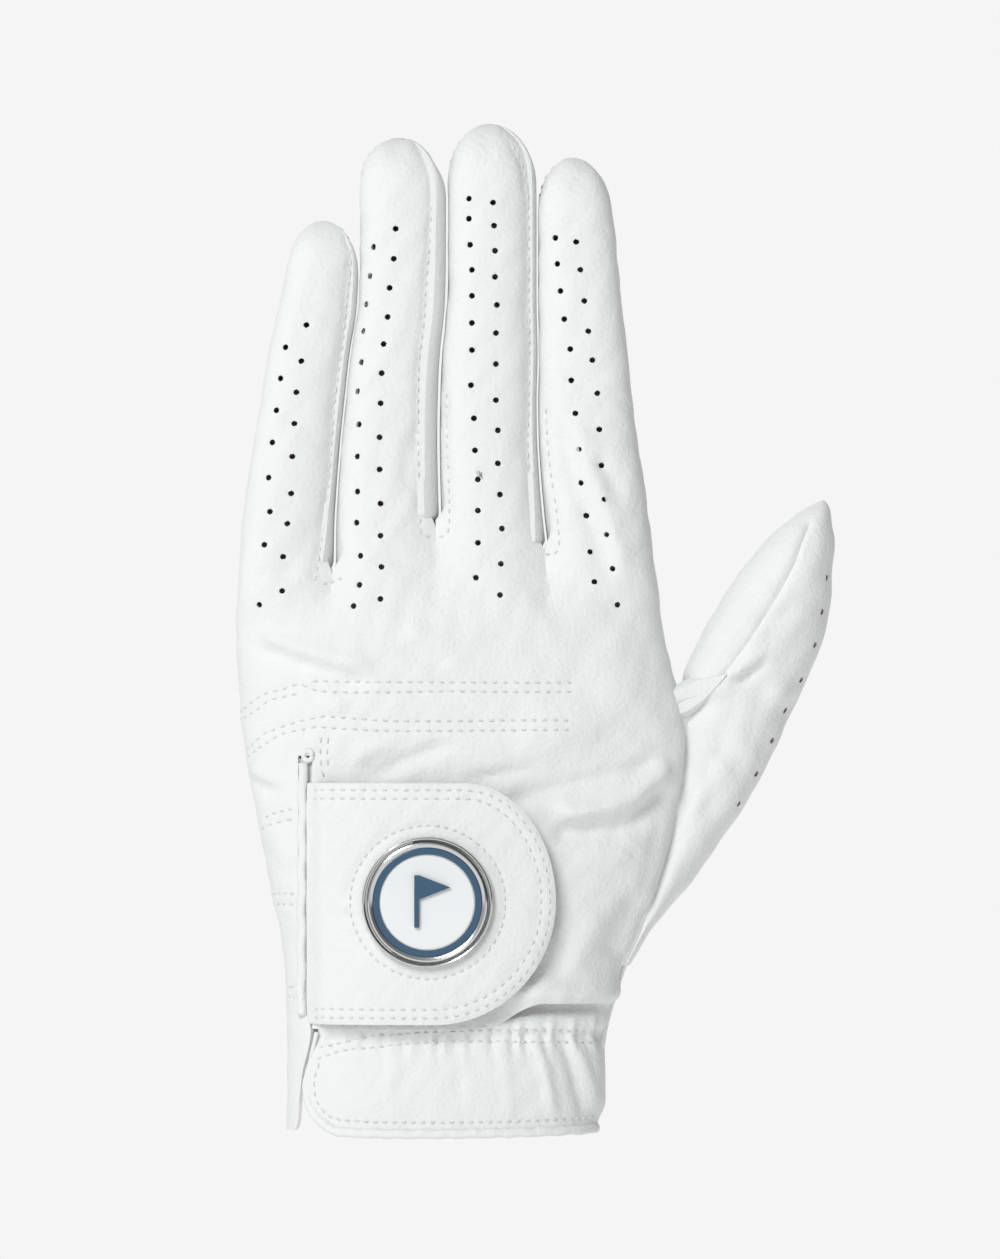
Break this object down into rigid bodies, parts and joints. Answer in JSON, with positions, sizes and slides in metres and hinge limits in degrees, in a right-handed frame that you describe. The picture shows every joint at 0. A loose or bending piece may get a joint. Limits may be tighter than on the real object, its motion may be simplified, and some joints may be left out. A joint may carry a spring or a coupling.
{
  "type": "golf glove",
  "caption": "Left-hand golf glove in thin white leather, with perforated fingers, a hook-and-loop closure tab and a magnetic ball marker set in the tab.",
  "frame": {"origin": "centre of the wrist opening, at the cuff's lower edge", "axes": "+Z along the fingers, +X towards the thumb side, -Y out of the back of the hand, +Y out of the palm"},
  "size_m": [0.1196, 0.0403, 0.2021],
  "materials": {
    "leather": "soft matt white sheepskin",
    "gusset_leather": "soft matt white sheepskin, skived",
    "tab_lining": "white synthetic suede",
    "elastic": "white braided elastic",
    "hook_tape": "white hook tape",
    "loop_tape": "white brushed loop tape",
    "nickel": "polished nickel plate",
    "magnet": "nickel-plated magnet",
    "blue_enamel": "glossy dark blue enamel",
    "white_enamel": "glossy white enamel"
  },
  "bodies": {
    "hand": {"back_panel": "leather", "palm_panel": "leather", "cuff_band": "leather", "cuff_binding": "leather", "wrist_elastic": "elastic", "palm_elastic": "elastic", "knuckle_elastic_upper": "elastic", "knuckle_elastic_lower": "elastic", "slit_binding": "leather", "slit_bartack": "leather", "loop_patch": "loop_tape", "thumb_back": "leather", "thumb_front": "leather", "thumb_quirk": "gusset_leather"},
    "upper_hand": {"finger_back_panel": "leather", "finger_palm_panel": "leather", "little_gusset_right": "gusset_leather", "ring_gusset_left": "gusset_leather", "ring_gusset_right": "gusset_leather", "middle_gusset_left": "gusset_leather", "middle_gusset_right": "gusset_leather", "index_gusset_left": "gusset_leather"},
    "little_tip": {"little_tip_back": "leather", "little_tip_palm": "leather", "little_tip_gusset_right": "gusset_leather"},
    "ring_tip": {"ring_tip_back": "leather", "ring_tip_palm": "leather", "ring_tip_gusset_left": "gusset_leather", "ring_tip_gusset_right": "gusset_leather"},
    "middle_tip": {"middle_tip_back": "leather", "middle_tip_palm": "leather", "middle_tip_gusset_left": "gusset_leather", "middle_tip_gusset_right": "gusset_leather"},
    "index_tip": {"index_tip_back": "leather", "index_tip_palm": "leather", "index_tip_gusset_left": "gusset_leather"},
    "thumb_tip": {"thumb_back_tip": "leather", "thumb_front_tip": "leather"},
    "tab": {"closure_tab": "leather", "tab_lining": "tab_lining", "hook_patch": "hook_tape", "marker_cup": "nickel", "cup_magnet": "magnet"},
    "marker": {"ball_marker": "nickel", "marker_enamel_ring": "blue_enamel", "marker_face": "white_enamel", "marker_emblem": "blue_enamel"}
  },
  "joints": [
    {"name": "knuckle_bend", "type": "hinge", "parent": "hand", "child": "upper_hand", "pos_m": [0, 0, 0.099], "axis": [-1, 0, 0], "range_deg": [0, 50]},
    {"name": "little_bend", "type": "hinge", "parent": "upper_hand", "child": "little_tip", "pos_m": [-0.029, 0, 0.143], "axis": [-0.9906, 0, 0.1365], "range_deg": [0, 70]},
    {"name": "ring_bend", "type": "hinge", "parent": "upper_hand", "child": "ring_tip", "pos_m": [-0.01028, 0, 0.153], "axis": [-0.9987, 0, 0.0504], "range_deg": [0, 70]},
    {"name": "middle_bend", "type": "hinge", "parent": "upper_hand", "child": "middle_tip", "pos_m": [0.00894, 0, 0.157], "axis": [-0.9999, 0, 0.0151], "range_deg": [0, 70]},
    {"name": "index_bend", "type": "hinge", "parent": "upper_hand", "child": "index_tip", "pos_m": [0.02846, 0, 0.151], "axis": [-0.998, 0, -0.0627], "range_deg": [0, 70]},
    {"name": "thumb_bend", "type": "hinge", "parent": "hand", "child": "thumb_tip", "pos_m": [0.066, 0.003, 0.105], "axis": [-0.583, -0.766, 0.2706], "range_deg": [0, 45]},
    {"name": "tab_fold", "type": "hinge", "parent": "hand", "child": "tab", "pos_m": [-0.0254, -0.01469, 0.047], "axis": [0, 0, -1], "range_deg": [0, 150]},
    {"name": "marker_lift", "type": "slide", "parent": "tab", "child": "marker", "axis": [0, -1, 0], "range_m": [0, 0.02]}
  ]
}
